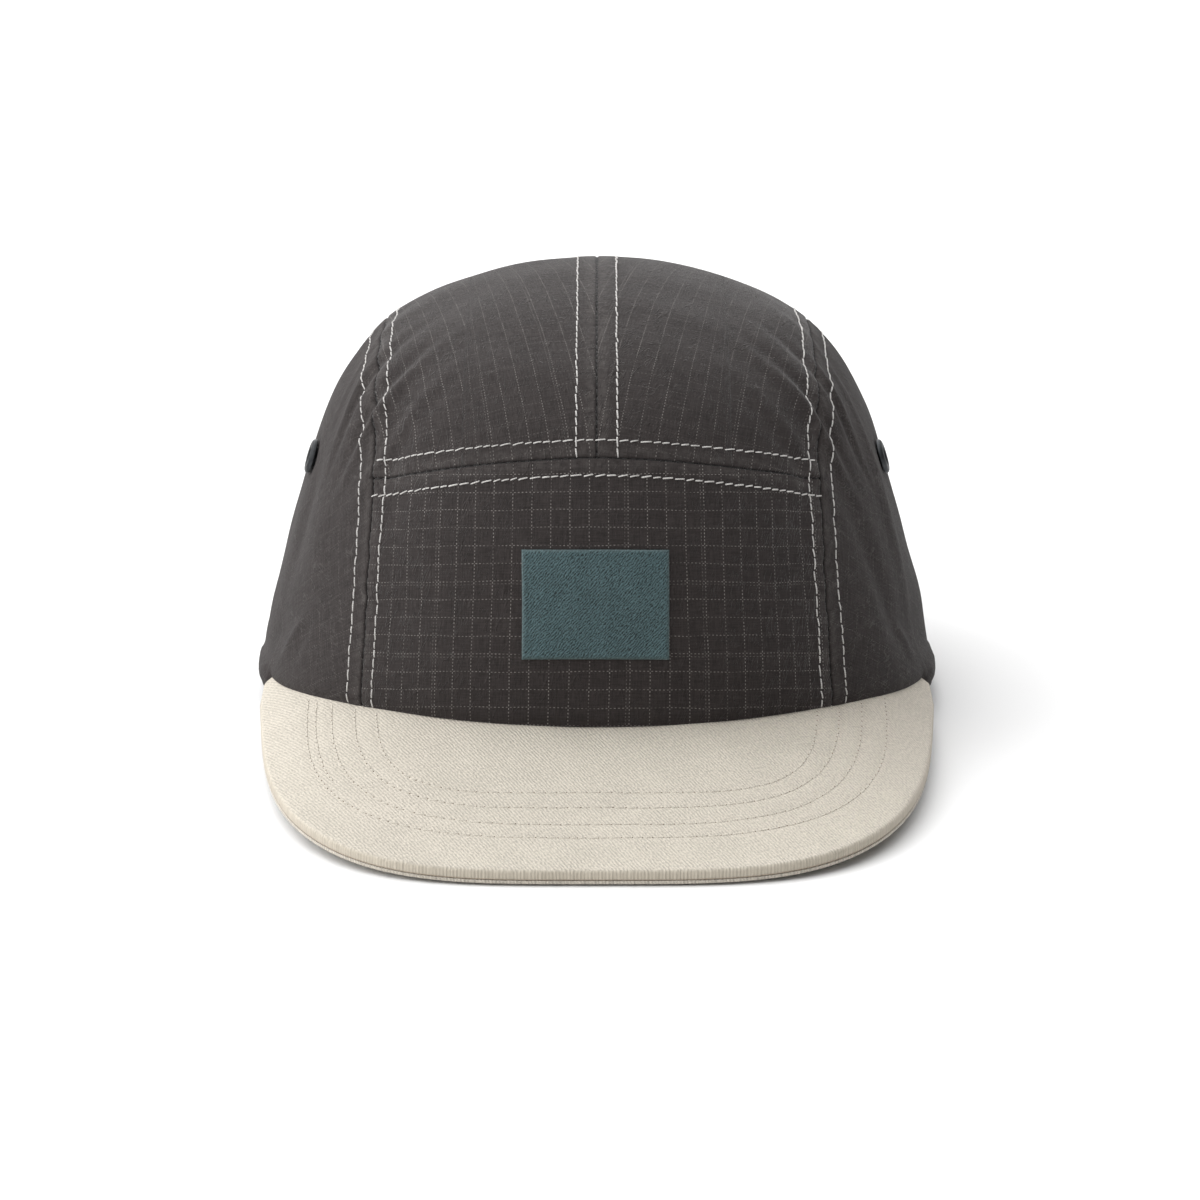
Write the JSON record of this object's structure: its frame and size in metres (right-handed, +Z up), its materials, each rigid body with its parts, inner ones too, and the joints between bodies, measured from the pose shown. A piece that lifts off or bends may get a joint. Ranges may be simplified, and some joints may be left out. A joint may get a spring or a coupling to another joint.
{
  "type": "five panel cap",
  "caption": "Soft five panel camp cap: low ripstop crown with contrast topstitching, bare woven patch, flat stitched twill peak, side eyelets, webbing strap and slider at the back.",
  "frame": {"origin": "middle of the underside of the cap's box, on the surface that the cap rests on", "axes": "+Z up, the peak towards -Y, +X to the right as the cap is seen from the front"},
  "size_m": [0.1746, 0.2718, 0.109],
  "materials": {
    "crown_cloth": "charcoal ripstop with a fine dotted grid, matte",
    "peak_cloth": "beige twill, matte",
    "patch_cloth": "plain teal woven patch",
    "band_cloth": "plain dark cotton",
    "webbing": "plain dark webbing",
    "dark_metal": "dark gunmetal"
  },
  "bodies": {
    "root": {"front_panel": "crown_cloth", "top_panel_left": "crown_cloth", "top_panel_right": "crown_cloth", "side_panel_left": "crown_cloth", "side_panel_right": "crown_cloth", "sweatband": "band_cloth", "label": "patch_cloth", "eyelet_left": "dark_metal", "eyelet_right": "dark_metal", "peak_top": "peak_cloth", "peak_under": "peak_cloth", "strap": "webbing", "strap_tab": "webbing", "buckle": "dark_metal"}
  },
  "joints": []
}
